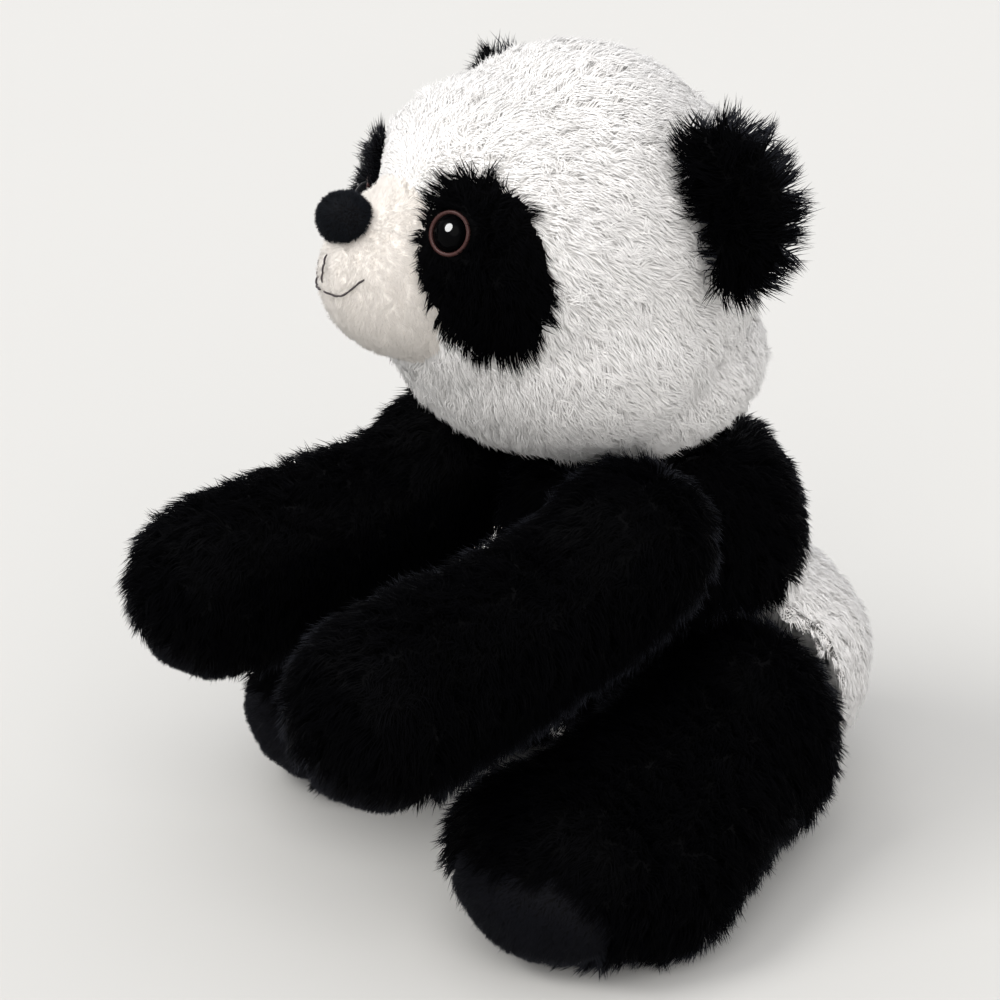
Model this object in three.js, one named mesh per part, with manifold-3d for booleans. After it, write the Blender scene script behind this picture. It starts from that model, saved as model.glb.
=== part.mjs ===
// Seated plush panda: sewn fur covers over stuffing, with safety eyes and embroidery.
// Millimetres. +Z is up, the panda faces -Y and its left is +X.
// The origin is the middle of the flat seat under the rump.

import * as THREE from 'three';
import { mergeVertices } from 'three/addons/utils/BufferGeometryUtils.js';
import Module from 'manifold-3d';

const wasm = await Module();
wasm.setup();

// ---------------------------------------------------------------------------
// Driving dimensions
// ---------------------------------------------------------------------------

// Cloth and fits
const COVER = 4;                    // cover cloth with the lower half of its pile
const FIT = 0.4;                    // between stuffing and cover, and between sewn panels
const MOVING_GAP = 2.0;             // between pieces that move against each other

// Torso
const RUMP_HALF_WIDTH = 53;
const RUMP_HALF_DEPTH = 54;
const RUMP_HALF_HEIGHT = 47;
const SEAT_SQUASH = 6;              // how far the stuffed rump flattens on its seat
const CHEST_HALF_WIDTH = 47;
const CHEST_HALF_DEPTH = 45;
const CHEST_HALF_HEIGHT = 44;
const CHEST_RISE = 44;              // chest centre above the rump centre
const CHEST_LEAN = 13;              // chest centre forward of the rump centre
const YOKE_SEAM_DROP = 22;          // yoke seam below the chest centre
const YOKE_SEAM_SLOPE = 40;         // degrees the seam drops towards the front

// Neck
const NECK_RADIUS = 26;
const NECK_GAP = 1.0;               // between the ball of neck stuffing and its two sockets
const NECK_SINK = 4;                // how far head and chest press into each other
const NOD_LIMIT = 5;
const HEAD_TILT = 17;               // degrees the head sits forward of straight up
const NECK_CREASE = 3;              // degrees left between head and shoulders at a full nod

// Head
const CRANIUM_HALF_WIDTH = 51;
const CRANIUM_HALF_DEPTH = 50;
const CRANIUM_HALF_HEIGHT = 53;
const FACE_HALF_WIDTH = 47.5;
const FACE_HALF_DEPTH = 46;
const FACE_HALF_HEIGHT = 44;
const FACE_FORWARD = 16;
const FACE_RISE = 4;
const JOWL_HALF_WIDTH = 51;
const JOWL_HALF_DEPTH = 47;
const JOWL_HALF_HEIGHT = 38;
const JOWL_DROP = 14;
const JOWL_FORWARD = 5;
const NAPE_HALF_WIDTH = 42;
const NAPE_HALF_DEPTH = 40;
const NAPE_HALF_HEIGHT = 28;
const NAPE_DROP = 32;
const NAPE_BACK = 12;
const MUZZLE_HALF_WIDTH = 22.5;
const MUZZLE_HALF_DEPTH = 34;
const MUZZLE_HALF_HEIGHT = 26;
const MUZZLE_FORWARD = 46.5;
const MUZZLE_RISE = 3.5;
const MUZZLE_PANEL_REACH = 34;      // seam of the short-pile panel, back from the muzzle's tip
const MUZZLE_PANEL_RADIUS = 40;

// Nose
const NOSE_HALF_WIDTH = 10.5;
const NOSE_HALF_DEPTH = 8;
const NOSE_HALF_HEIGHT = 8;
const NOSE_ELEVATION = 33;          // degrees above the muzzle's forward axis

// Mouth
const THREAD_RADIUS = 0.6;
const SMILE_HALF_WIDTH = 13;
const SMILE_DROP = 0.5;             // fork of the mouth below the muzzle centre
const SMILE_SAG = 1.5;              // middle of each side of the smile below the fork
const SMILE_LIFT = 4.5;             // how far the ends of the smile rise above the fork

// Eyes
const EYE_RADIUS = 4.6;
const EYE_DOME = 0.75;               // how far the dome stands out, as a share of its radius
const EYE_STEM_RADIUS = 1.8;
const EYE_STEM_LENGTH = 11;
const IRIS_RADIUS = 6.1;
const IRIS_THICKNESS = 1.2;
const EYE_AZIMUTH = 31;             // degrees from straight ahead
const EYE_ELEVATION = 18;
const WASHER_RADIUS = 6.5;
const WASHER_THICKNESS = 1.4;
const WASHER_SETBACK = 3.0;         // how far the curved cover dips behind the flat washer
const PATCH_HALF_WIDTH = 17;
const PATCH_HALF_HEIGHT = 23;
const PATCH_AZIMUTH = 42;
const PATCH_ELEVATION = 8;
const PATCH_ROLL = 20;              // degrees its lower end swings outwards

// Ears
const EAR_HALF_WIDTH = 21;
const EAR_HALF_HEIGHT = 25;
const EAR_HALF_THICKNESS = 6.5;
const EAR_AZIMUTH = 100;             // degrees from straight ahead to the ear's root
const EAR_SWEEP = 18;               // degrees swept back from straight out
const EAR_ELEVATION = 24;           // degrees above the head centre, seen from the front
const EAR_OUT = 9;                  // ear centre beyond the skull
const EAR_BEND_LIMIT = 20;

// Arms
const SHOULDER_OUT = -2;            // shoulder centre beyond the chest's half width
const SHOULDER_FORWARD = 42;
const SHOULDER_RISE = 18.5;
const SHOULDER_RADIUS = 25;
const UPPER_ARM_LENGTH = 20;
const UPPER_ARM_DROP = 35;           // degrees below level
const FOREARM_LENGTH = 64;
const FOREARM_DROP = 12.5;            // degrees below level
const FOREARM_TURN_OUT = 4;         // degrees from straight ahead
const FOREARM_RADIUS = 24;
const PAW_RADIUS = 28;
const PAW_PAD_HALF_WIDTH = 15;
const PAW_PAD_HALF_LENGTH = 19;
const PAW_PAD_DROP = 70;            // degrees below level that the paw pad faces

// Legs
const HIP_OUT = -11;                // thigh centre beyond the rump's half width
const HIP_FORWARD = 17;
const THIGH_RADIUS = 31;
const THIGH_HALF_HEIGHT = 36;
const LEG_SQUASH = 2;               // how far thigh and foot flatten on the floor
const LEG_REACH = 78;               // thigh centre to foot centre
const LEG_SPLAY = 17;               // degrees from straight ahead
const ANKLE_RADIUS = 30;
const FOOT_HALF_WIDTH = 38;
const FOOT_HALF_LENGTH = 25;
const FOOT_HALF_HEIGHT = 28;
const HEEL_RADIUS = 23;
const HEEL_OUT = 20;                // heel centre outwards from the foot centre
const HEEL_BACK = 16;               // and back towards the hip
const SOLE_PAD_HALF_WIDTH = 27;
const SOLE_PAD_HALF_HEIGHT = 17;
const SOLE_PAD_DROP = 27;           // degrees below level that the sole pad faces
const LEG_IN_LIMIT = 4;
const LEG_OUT_LIMIT = 25;

// Smoothness of the round forms
const FINE = 18;
const MEDIUM = 12;
const COARSE = 10;
const END_STEPS = 3;
const ROUND_BANDS = 0.6;            // bands from pole to pole, as a share of those round it
const SAME_POINT = 1e-4;            // corners closer than this are one

// ---------------------------------------------------------------------------
// Finishes
// ---------------------------------------------------------------------------

const WHITE_FUR = finish('#f6f3ef', 0.95);
const BLACK_FUR = finish('#0b0b0d', 0.95);
const CREAM_PILE = finish('#efe7dd', 0.95);
const BLACK_PILE = finish('#121318', 0.85);
const NOSE_PLUSH = finish('#0f1217', 0.8);
const BLACK_THREAD = finish('#241f22', 0.7);
const EYE_PLASTIC = finish('#050506', 0.1);
const IRIS_PLASTIC = finish('#573939', 0.25);
const WASHER_PLASTIC = finish('#e8e8e4', 0.5);
const FIBRE = finish('#f4f4f0', 1.0);

function finish(colour, roughness) {
  return new THREE.MeshStandardMaterial({ color: colour, roughness, metalness: 0 });
}

// ---------------------------------------------------------------------------
// Geometry helpers
// ---------------------------------------------------------------------------

const REACH_ALL = 400;              // further than any point of the toy
const RIGHT_TO_LEFT = vector(1, 0, 0);
const UP = vector(0, 0, 1);

function vector(x, y, z) {
  return new THREE.Vector3(x, y, z);
}

function radians(degrees) {
  return THREE.MathUtils.degToRad(degrees);
}

// A direction from its angle left of straight ahead and its angle above level.
function heading(azimuth, elevation) {
  const level = Math.cos(radians(elevation));
  return vector(
    Math.sin(radians(azimuth)) * level,
    -Math.cos(radians(azimuth)) * level,
    Math.sin(radians(elevation)),
  );
}

function along(start, direction, distance) {
  return start.clone().addScaledVector(direction, distance);
}

function solidOf(geometry) {
  geometry.deleteAttribute('normal');
  geometry.deleteAttribute('uv');
  const merged = mergeVertices(geometry, SAME_POINT);
  return new wasm.Manifold(new wasm.Mesh({
    numProp: 3,
    vertProperties: Float32Array.from(merged.attributes.position.array),
    triVerts: Uint32Array.from(merged.index.array),
  }));
}

function geometryOf(solid) {
  const mesh = solid.getMesh();
  const geometry = new THREE.BufferGeometry();
  geometry.setAttribute('position', new THREE.BufferAttribute(mesh.vertProperties, 3));
  geometry.setIndex(new THREE.BufferAttribute(mesh.triVerts, 1));
  geometry.computeVertexNormals();
  return geometry;
}

function unionOf(solids) {
  return solids.reduce((whole, solid) => whole.add(solid));
}

// Turns a geometry made along +Y so that it runs along a direction from a point, with its
// local +Z as near to straight up as it can be, then rolled about that direction.
function aim(geometry, origin, direction, roll = 0) {
  const forward = direction.clone().normalize();
  const side = forward.clone().cross(UP).normalize();
  const up = side.clone().cross(forward);
  geometry.rotateY(radians(roll));
  geometry.applyMatrix4(new THREE.Matrix4().makeBasis(side, forward, up));
  geometry.translate(origin.x, origin.y, origin.z);
  return geometry;
}

function ellipsoid(centre, halves, grow, segments, direction = vector(0, 1, 0)) {
  const geometry = new THREE.SphereGeometry(1, segments, Math.round(segments * ROUND_BANDS));
  geometry.rotateX(Math.PI / 2);
  geometry.scale(halves.x + grow, halves.y + grow, halves.z + grow);
  return solidOf(aim(geometry, centre, direction));
}

// A length of stuffed limb: round at both ends, with a radius of its own at each.
function sausage(start, direction, length, startRadius, endRadius, grow, segments) {
  const points = [];
  for (let i = 0; i <= END_STEPS; i += 1) {
    const angle = (Math.PI / 2) * (i / END_STEPS);
    const radius = startRadius + grow;
    points.push(new THREE.Vector2(radius * Math.sin(angle), -radius * Math.cos(angle)));
  }
  for (let i = END_STEPS; i >= 0; i -= 1) {
    const angle = (Math.PI / 2) * (i / END_STEPS);
    const radius = endRadius + grow;
    points.push(new THREE.Vector2(radius * Math.sin(angle), length + radius * Math.cos(angle)));
  }
  return solidOf(aim(new THREE.LatheGeometry(points, segments), start, direction));
}

// A straight plug of oval section, used to cut a panel or an opening through a cover.
function plug(start, direction, halfWidth, halfHeight, grow = 0, roll = 0) {
  const geometry = new THREE.CylinderGeometry(1, 1, REACH_ALL, MEDIUM);
  geometry.translate(0, REACH_ALL / 2, 0);
  geometry.scale(halfWidth + grow, 1, halfHeight + grow);
  return solidOf(aim(geometry, start, direction, roll));
}

// A turned part whose profile is given as pairs of radius and distance along its axis.
function lathed(pairs, start, direction, segments) {
  const points = pairs.map(([radius, distance]) => new THREE.Vector2(radius, distance));
  return solidOf(aim(new THREE.LatheGeometry(points, segments), start, direction));
}

// Everything between two heights.
function slab(low, high) {
  const geometry = new THREE.BoxGeometry(2 * REACH_ALL, 2 * REACH_ALL, high - low);
  geometry.translate(0, 0, (low + high) / 2);
  return solidOf(geometry);
}

function turned(solid, pivot, axis, degrees) {
  const matrix = new THREE.Matrix4().makeTranslation(pivot.x, pivot.y, pivot.z)
    .multiply(new THREE.Matrix4().makeRotationAxis(axis, radians(degrees)))
    .multiply(new THREE.Matrix4().makeTranslation(-pivot.x, -pivot.y, -pivot.z));
  return solid.transform(matrix.elements);
}

// The room a piece needs as it turns between two limits.
function sweepOf(solid, pivot, axis, low, high) {
  return unionOf([low, (low + high) / 2, high].map((angle) => turned(solid, pivot, axis, angle)));
}

function mirrored(solid) {
  return solid.mirror([1, 0, 0]);
}

function withMirror(solid) {
  return solid.add(mirrored(solid));
}

// ---------------------------------------------------------------------------
// Places that follow from the sizes
// ---------------------------------------------------------------------------

const rumpHalves = vector(RUMP_HALF_WIDTH, RUMP_HALF_DEPTH, RUMP_HALF_HEIGHT);
const chestHalves = vector(CHEST_HALF_WIDTH, CHEST_HALF_DEPTH, CHEST_HALF_HEIGHT);
const rumpCentre = vector(0, 0, RUMP_HALF_HEIGHT - SEAT_SQUASH);
const chestCentre = rumpCentre.clone().add(vector(0, -CHEST_LEAN, CHEST_RISE));

const neckDirection = heading(0, 90 - HEAD_TILT);
const neckPivot = along(chestCentre, neckDirection, CHEST_HALF_HEIGHT - NECK_SINK / 2);
const headDepth = Math.max(CRANIUM_HALF_HEIGHT, JOWL_DROP + JOWL_HALF_HEIGHT);
const headCentre = along(neckPivot, neckDirection, headDepth - NECK_SINK / 2);

const craniumHalves = vector(CRANIUM_HALF_WIDTH, CRANIUM_HALF_DEPTH, CRANIUM_HALF_HEIGHT);
const faceHalves = vector(FACE_HALF_WIDTH, FACE_HALF_DEPTH, FACE_HALF_HEIGHT);
const jowlHalves = vector(JOWL_HALF_WIDTH, JOWL_HALF_DEPTH, JOWL_HALF_HEIGHT);
const napeHalves = vector(NAPE_HALF_WIDTH, NAPE_HALF_DEPTH, NAPE_HALF_HEIGHT);
const muzzleHalves = vector(MUZZLE_HALF_WIDTH, MUZZLE_HALF_DEPTH, MUZZLE_HALF_HEIGHT);
const faceCentre = headCentre.clone().add(vector(0, -FACE_FORWARD, FACE_RISE));
const jowlCentre = headCentre.clone().add(vector(0, -JOWL_FORWARD, -JOWL_DROP));
const napeCentre = headCentre.clone().add(vector(0, NAPE_BACK, -NAPE_DROP));
const muzzleCentre = headCentre.clone().add(vector(0, -MUZZLE_FORWARD, MUZZLE_RISE));

const shoulder = chestCentre.clone()
  .add(vector(CHEST_HALF_WIDTH + SHOULDER_OUT, -SHOULDER_FORWARD, SHOULDER_RISE));
const forearmDirection = heading(FOREARM_TURN_OUT, -FOREARM_DROP);
const upperArmDirection = heading(0, -UPPER_ARM_DROP);
const elbow = along(shoulder, upperArmDirection, UPPER_ARM_LENGTH);
const pawCentre = along(elbow, forearmDirection, FOREARM_LENGTH);

const thighHalves = vector(THIGH_RADIUS, THIGH_RADIUS, THIGH_HALF_HEIGHT);
const thighCentre = vector(
  RUMP_HALF_WIDTH + HIP_OUT, -HIP_FORWARD, THIGH_HALF_HEIGHT - LEG_SQUASH);
const footHalves = vector(FOOT_HALF_WIDTH, FOOT_HALF_LENGTH, FOOT_HALF_HEIGHT);
const legLevel = heading(LEG_SPLAY, 0);
const footCentre = along(thighCentre, legLevel, LEG_REACH)
  .setZ(FOOT_HALF_HEIGHT - LEG_SQUASH);
const legOutward = heading(LEG_SPLAY + 90, 0);
const heelCentre = along(along(footCentre, legOutward, HEEL_OUT), legLevel, -HEEL_BACK)
  .setZ(HEEL_RADIUS - LEG_SQUASH);

// Where a ray from an ellipsoid's centre meets its surface, and the way the surface faces.
function onSurface(centre, halves, direction) {
  const reach = 1 / direction.clone().divide(halves).length();
  const point = along(centre, direction, reach);
  const normal = direction.clone().divide(halves).divide(halves).normalize();
  return { point, normal };
}

const eye = onSurface(faceCentre, faceHalves, heading(EYE_AZIMUTH, EYE_ELEVATION));
const nose = onSurface(muzzleCentre, muzzleHalves, heading(0, NOSE_ELEVATION));
const earOutward = heading(90 + EAR_SWEEP, 0);
const earRoot = onSurface(headCentre, craniumHalves, heading(EAR_AZIMUTH, EAR_ELEVATION)).point;
const earCentre = along(earRoot, earOutward, EAR_OUT);

// ---------------------------------------------------------------------------
// Whole forms, each grown or shrunk evenly so that covers and stuffing share them
// ---------------------------------------------------------------------------

const belowFloor = slab(-REACH_ALL, 0);
const belowLining = slab(-REACH_ALL, COVER);
const belowStuffing = slab(-REACH_ALL, COVER + FIT);

function torsoForm(grow, segments) {
  return ellipsoid(rumpCentre, rumpHalves, grow, segments)
    .add(ellipsoid(chestCentre, chestHalves, grow, segments));
}

function headForm(grow, segments) {
  return unionOf([
    ellipsoid(headCentre, craniumHalves, grow, segments),
    ellipsoid(faceCentre, faceHalves, grow, segments),
    ellipsoid(jowlCentre, jowlHalves, grow, segments),
    ellipsoid(napeCentre, napeHalves, grow, segments),
    ellipsoid(muzzleCentre, muzzleHalves, grow, segments),
  ]);
}

function armForm(grow, segments) {
  return sausage(shoulder, upperArmDirection, UPPER_ARM_LENGTH, SHOULDER_RADIUS, FOREARM_RADIUS,
    grow, segments)
    .add(sausage(elbow, forearmDirection, FOREARM_LENGTH, FOREARM_RADIUS, PAW_RADIUS,
      grow, segments));
}

function legForm(grow, segments) {
  const shin = footCentre.clone().sub(thighCentre);
  const calf = heelCentre.clone().sub(thighCentre);
  return unionOf([
    ellipsoid(thighCentre, thighHalves, grow, segments),
    sausage(thighCentre, shin, shin.length(), ANKLE_RADIUS, ANKLE_RADIUS - LEG_SQUASH,
      grow, segments),
    ellipsoid(footCentre, footHalves, grow, segments, legLevel),
    sausage(thighCentre, calf, calf.length(), ANKLE_RADIUS - LEG_SQUASH, HEEL_RADIUS,
      grow, segments),
  ]);
}

// The space on one side of a cone whose axis is upright through the neck pivot, with its tip
// at a height above the pivot.
function neckCone(tipRise, dropAngle, farHeight) {
  const edgeHeight = -REACH_ALL * Math.tan(radians(dropAngle));
  const profile = [[0, 0], [REACH_ALL, edgeHeight], [REACH_ALL, farHeight], [0, farHeight]];
  const pairs = farHeight > edgeHeight ? profile : profile.reverse();
  const points = pairs.map(([radius, height]) => new THREE.Vector2(radius, height));
  const geometry = new THREE.LatheGeometry(points, FINE);
  geometry.rotateX(Math.PI / 2);
  geometry.translate(neckPivot.x, neckPivot.y, neckPivot.z + tipRise);
  return solidOf(geometry);
}

function underHead(rise) {
  return neckCone(rise, NECK_CREASE, -2 * REACH_ALL);
}

function aboveShoulders(rise) {
  return neckCone(rise, NECK_CREASE + NOD_LIMIT + NECK_CREASE, REACH_ALL);
}

function neckBall(grow) {
  return ellipsoid(neckPivot, vector(NECK_RADIUS, NECK_RADIUS, NECK_RADIUS), grow, FINE);
}

// ---------------------------------------------------------------------------
// The toy
// ---------------------------------------------------------------------------

const panda = new THREE.Group();

function place(name, solid, material) {
  const mesh = new THREE.Mesh(geometryOf(solid), material);
  mesh.name = name;
  panda.add(mesh);
}

function placePair(name, solid, material) {
  place(`${name}_left`, solid, material);
  place(`${name}_right`, mirrored(solid), material);
}

// The torso leaves a pocket for each shoulder, and for each leg over its whole swing.
function limbPockets() {
  const shoulderHalves = vector(SHOULDER_RADIUS, SHOULDER_RADIUS, SHOULDER_RADIUS);
  const shoulderPocket = ellipsoid(shoulder, shoulderHalves, MOVING_GAP, MEDIUM);
  const legPocket = sweepOf(legForm(MOVING_GAP, MEDIUM), thighCentre, UP,
    -LEG_IN_LIMIT, LEG_OUT_LIMIT);
  return withMirror(shoulderPocket.add(legPocket));
}

function makeTorso() {
  const openings = neckBall(NECK_GAP).add(limbPockets());
  const outside = torsoForm(0, FINE).subtract(belowFloor).subtract(aboveShoulders(0));
  const lining = torsoForm(-COVER, MEDIUM).subtract(belowLining)
    .subtract(aboveShoulders(-COVER));
  const stuffing = torsoForm(-COVER - FIT, MEDIUM).subtract(belowStuffing)
    .subtract(aboveShoulders(-COVER - FIT));
  const shell = outside.subtract(lining).subtract(openings);
  const seamCentre = chestCentre.clone().add(vector(0, 0, -YOKE_SEAM_DROP));
  const upper = turned(slab(0, REACH_ALL), vector(0, 0, 0), RIGHT_TO_LEFT, YOKE_SEAM_SLOPE);
  const aboveSeam = upper.translate([seamCentre.x, seamCentre.y, seamCentre.z + FIT / 2]);
  const nearSeam = upper.translate([seamCentre.x, seamCentre.y, seamCentre.z - FIT / 2]);
  place('yoke_cover', shell.intersect(aboveSeam), BLACK_FUR);
  place('belly_cover', shell.subtract(nearSeam), WHITE_FUR);
  place('torso_stuffing', stuffing.subtract(openings), FIBRE);
}

function makeHead() {
  const socket = neckBall(NECK_GAP);
  const stem = plug(along(eye.point, eye.normal, -REACH_ALL / 2), eye.normal,
    EYE_STEM_RADIUS, EYE_STEM_RADIUS, FIT);
  const eyeSeat = plug(eye.point, eye.normal, IRIS_RADIUS, IRIS_RADIUS, FIT);
  const lining = headForm(-COVER, MEDIUM).subtract(underHead(COVER));
  const stuffing = headForm(-COVER - FIT, MEDIUM).subtract(underHead(COVER + FIT));
  const shell = headForm(0, FINE).subtract(underHead(0)).subtract(lining).subtract(socket)
    .subtract(withMirror(stem.add(eyeSeat)));
  const patchAim = heading(PATCH_AZIMUTH, PATCH_ELEVATION);
  const patchPlug = (grow) => withMirror(
    plug(faceCentre, patchAim, PATCH_HALF_WIDTH, PATCH_HALF_HEIGHT, grow, PATCH_ROLL));
  const panelCentre = along(muzzleCentre, heading(0, 0), MUZZLE_HALF_DEPTH
    - MUZZLE_PANEL_REACH + MUZZLE_PANEL_RADIUS);
  const panelHalves = vector(MUZZLE_PANEL_RADIUS, MUZZLE_PANEL_RADIUS, MUZZLE_PANEL_RADIUS);
  const muzzleRoom = (grow) => ellipsoid(panelCentre, panelHalves, grow, FINE);
  place('head_cover', shell.subtract(patchPlug(FIT / 2)).subtract(muzzleRoom(FIT / 2)),
    WHITE_FUR);
  place('muzzle_cover', shell.subtract(patchPlug(FIT / 2)).intersect(muzzleRoom(-FIT / 2)),
    CREAM_PILE);
  const leftSide = solidOf(new THREE.BoxGeometry(REACH_ALL, 2 * REACH_ALL, 2 * REACH_ALL)
    .translate(REACH_ALL / 2, 0, 0));
  placePair('eye_patch', shell.intersect(patchPlug(-FIT / 2)).intersect(leftSide), BLACK_FUR);
  const washerRoom = plug(along(eye.point, eye.normal, -EYE_STEM_LENGTH - FIT), eye.normal,
    WASHER_RADIUS, WASHER_RADIUS, FIT);
  place('head_stuffing', stuffing.subtract(socket).subtract(withMirror(washerRoom)), FIBRE);
  place('neck_stuffing', neckBall(0), FIBRE);
}

function makeEyes() {
  const bulge = [];
  for (let i = 0; i <= END_STEPS; i += 1) {
    const angle = (Math.PI / 2) * (i / END_STEPS);
    bulge.push([EYE_RADIUS * Math.cos(angle), FIT + EYE_RADIUS * EYE_DOME * Math.sin(angle)]);
  }
  placePair('eye', lathed([[0, -EYE_STEM_LENGTH], [EYE_STEM_RADIUS, -EYE_STEM_LENGTH],
    [EYE_STEM_RADIUS, FIT], ...bulge], eye.point, eye.normal, MEDIUM), EYE_PLASTIC);
  const inner = EYE_RADIUS + FIT;
  placePair('iris_ring', lathed([[inner, FIT], [IRIS_RADIUS, FIT],
    [IRIS_RADIUS, FIT + IRIS_THICKNESS / 2], [inner, FIT + IRIS_THICKNESS], [inner, FIT]],
  eye.point, eye.normal, MEDIUM), IRIS_PLASTIC);
  const washerTop = -COVER - WASHER_SETBACK;
  const bore = EYE_STEM_RADIUS + FIT;
  placePair('eye_washer', lathed([[bore, washerTop - WASHER_THICKNESS],
    [WASHER_RADIUS, washerTop - WASHER_THICKNESS], [WASHER_RADIUS, washerTop],
    [bore, washerTop], [bore, washerTop - WASHER_THICKNESS]],
  eye.point, eye.normal, MEDIUM), WASHER_PLASTIC);
}

function makeNose() {
  const halves = vector(NOSE_HALF_WIDTH, NOSE_HALF_DEPTH, NOSE_HALF_HEIGHT);
  place('nose', ellipsoid(nose.point, halves, 0, MEDIUM).subtract(headForm(FIT, FINE)),
    NOSE_PLUSH);
}

// A point of the muzzle's front, just clear of the cloth, from its side and height offsets.
function onMuzzle(side, rise) {
  const halves = muzzleHalves.clone().addScalar(FIT + THREAD_RADIUS);
  const depth = Math.sqrt(1 - (side / halves.x) ** 2 - (rise / halves.z) ** 2);
  return muzzleCentre.clone().add(vector(side, -halves.y * depth, rise));
}

function thread(points) {
  const section = new THREE.Shape().absarc(0, 0, THREAD_RADIUS, 0, 2 * Math.PI);
  return solidOf(new THREE.ExtrudeGeometry(section, {
    extrudePath: new THREE.CatmullRomCurve3(points),
    steps: COARSE,
    curveSegments: END_STEPS,
    bevelEnabled: false,
  }));
}

function makeMouth() {
  const noseFoot = nose.point.z - muzzleCentre.z - NOSE_HALF_HEIGHT;
  const fork = -SMILE_DROP + THREAD_RADIUS + FIT;
  place('mouth_stitch', thread([
    onMuzzle(0, noseFoot),
    onMuzzle(0, (noseFoot + fork) / 2),
    onMuzzle(0, fork + THREAD_RADIUS),
  ]), BLACK_THREAD);
  placePair('smile_stitch', thread([
    onMuzzle(THREAD_RADIUS + FIT, -SMILE_DROP),
    onMuzzle(SMILE_HALF_WIDTH / 2, -SMILE_DROP - SMILE_SAG),
    onMuzzle(SMILE_HALF_WIDTH, -SMILE_DROP + SMILE_LIFT),
  ]), BLACK_THREAD);
}

function makeEars() {
  const geometry = new THREE.SphereGeometry(1, MEDIUM, COARSE);
  geometry.scale(EAR_HALF_THICKNESS, EAR_HALF_WIDTH, EAR_HALF_HEIGHT);
  const whole = solidOf(aim(geometry, earCentre, earOutward));
  const skull = headForm(MOVING_GAP, FINE);
  placePair('ear', whole.subtract(
    sweepOf(skull, earRoot, UP, -EAR_BEND_LIMIT, EAR_BEND_LIMIT)), BLACK_FUR);
}

function makeArms() {
  const padAim = heading(FOREARM_TURN_OUT, -PAW_PAD_DROP);
  const padPlug = (grow) => plug(pawCentre, padAim, PAW_PAD_HALF_WIDTH, PAW_PAD_HALF_LENGTH, grow);
  const inward = chestCentre.clone().sub(shoulder);
  const opening = plug(shoulder, inward, SHOULDER_RADIUS / 2, SHOULDER_RADIUS / 2);
  const shell = armForm(0, MEDIUM).subtract(armForm(-COVER, COARSE)).subtract(opening);
  placePair('arm_cover', shell.subtract(padPlug(FIT / 2)), BLACK_FUR);
  placePair('paw_pad', shell.intersect(padPlug(-FIT / 2)), BLACK_PILE);
  placePair('arm_stuffing', armForm(-COVER - FIT, COARSE), FIBRE);
}

function makeLegs() {
  const padAim = heading(LEG_SPLAY, -SOLE_PAD_DROP);
  const padPlug = (grow) => plug(footCentre, padAim, SOLE_PAD_HALF_WIDTH, SOLE_PAD_HALF_HEIGHT,
    grow);
  const inward = rumpCentre.clone().sub(thighCentre);
  const opening = plug(thighCentre, inward, THIGH_RADIUS / 2, THIGH_RADIUS / 2);
  const shell = legForm(0, MEDIUM).subtract(legForm(-COVER, COARSE).subtract(belowLining))
    .subtract(belowFloor)
    .subtract(opening);
  placePair('leg_cover', shell.subtract(padPlug(FIT / 2)), BLACK_FUR);
  placePair('sole_pad', shell.intersect(padPlug(-FIT / 2)), BLACK_PILE);
  placePair('leg_stuffing', legForm(-COVER - FIT, COARSE).subtract(belowStuffing), FIBRE);
}

makeTorso();
makeHead();
makeEyes();
makeNose();
makeMouth();
makeEars();
makeArms();
makeLegs();

export default panda;
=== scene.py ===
"""Seated plush panda: cloth, fur, short pile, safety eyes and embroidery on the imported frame."""

import math

import bmesh
import bpy
import numpy as np
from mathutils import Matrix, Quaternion, Vector
from mathutils.bvhtree import BVHTree
from mathutils.kdtree import KDTree


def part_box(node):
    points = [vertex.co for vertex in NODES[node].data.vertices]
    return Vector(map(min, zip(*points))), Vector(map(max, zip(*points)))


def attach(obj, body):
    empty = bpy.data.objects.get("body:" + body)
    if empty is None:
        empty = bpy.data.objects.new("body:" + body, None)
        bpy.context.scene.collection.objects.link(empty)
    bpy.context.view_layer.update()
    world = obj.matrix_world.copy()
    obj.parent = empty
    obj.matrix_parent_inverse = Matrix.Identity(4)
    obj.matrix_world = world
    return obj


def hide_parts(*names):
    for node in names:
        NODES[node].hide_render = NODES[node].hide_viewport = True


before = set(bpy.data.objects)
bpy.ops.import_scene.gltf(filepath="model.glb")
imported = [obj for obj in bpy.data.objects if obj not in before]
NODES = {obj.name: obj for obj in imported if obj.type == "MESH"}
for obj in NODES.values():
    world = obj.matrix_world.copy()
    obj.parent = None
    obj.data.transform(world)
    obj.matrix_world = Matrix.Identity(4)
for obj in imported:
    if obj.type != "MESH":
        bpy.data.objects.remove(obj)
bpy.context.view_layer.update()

bl_info = {
    "name": "Plush Panda",
    "version": (1, 0, 0),
    "blender": (4, 5, 0),
    "location": "3D View > Sidebar > Panda",
    "description": "Builds a seated plush panda piece by piece on its packed frame",
    "category": "Object",
}

SIDES = ("left", "right")
MM = 0.001
FLOOR_CLEARANCE = 0.3 * MM  # lowest that a hair reaches above the floor
PIECE_TRIANGLES = 196000  # a coat with more than this is cut into several pieces
SHADE_COLUMNS = 16  # shades of hair laid side by side on the coat's map
DOWN = np.array((0.0, 0.0, -1.0))


# ---------------------------------------------------------------------------
# Sizes and colours a user may change
# ---------------------------------------------------------------------------


def length(name, description, default, low=0.0):
    """A length property, in metres."""
    return bpy.props.FloatProperty(
        name=name, description=description, default=default, min=low, unit="LENGTH", precision=5
    )


def factor(name, description, default, high=1.0):
    """A plain factor property."""
    return bpy.props.FloatProperty(
        name=name, description=description, default=default, min=0.0, max=high, subtype="FACTOR"
    )


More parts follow.
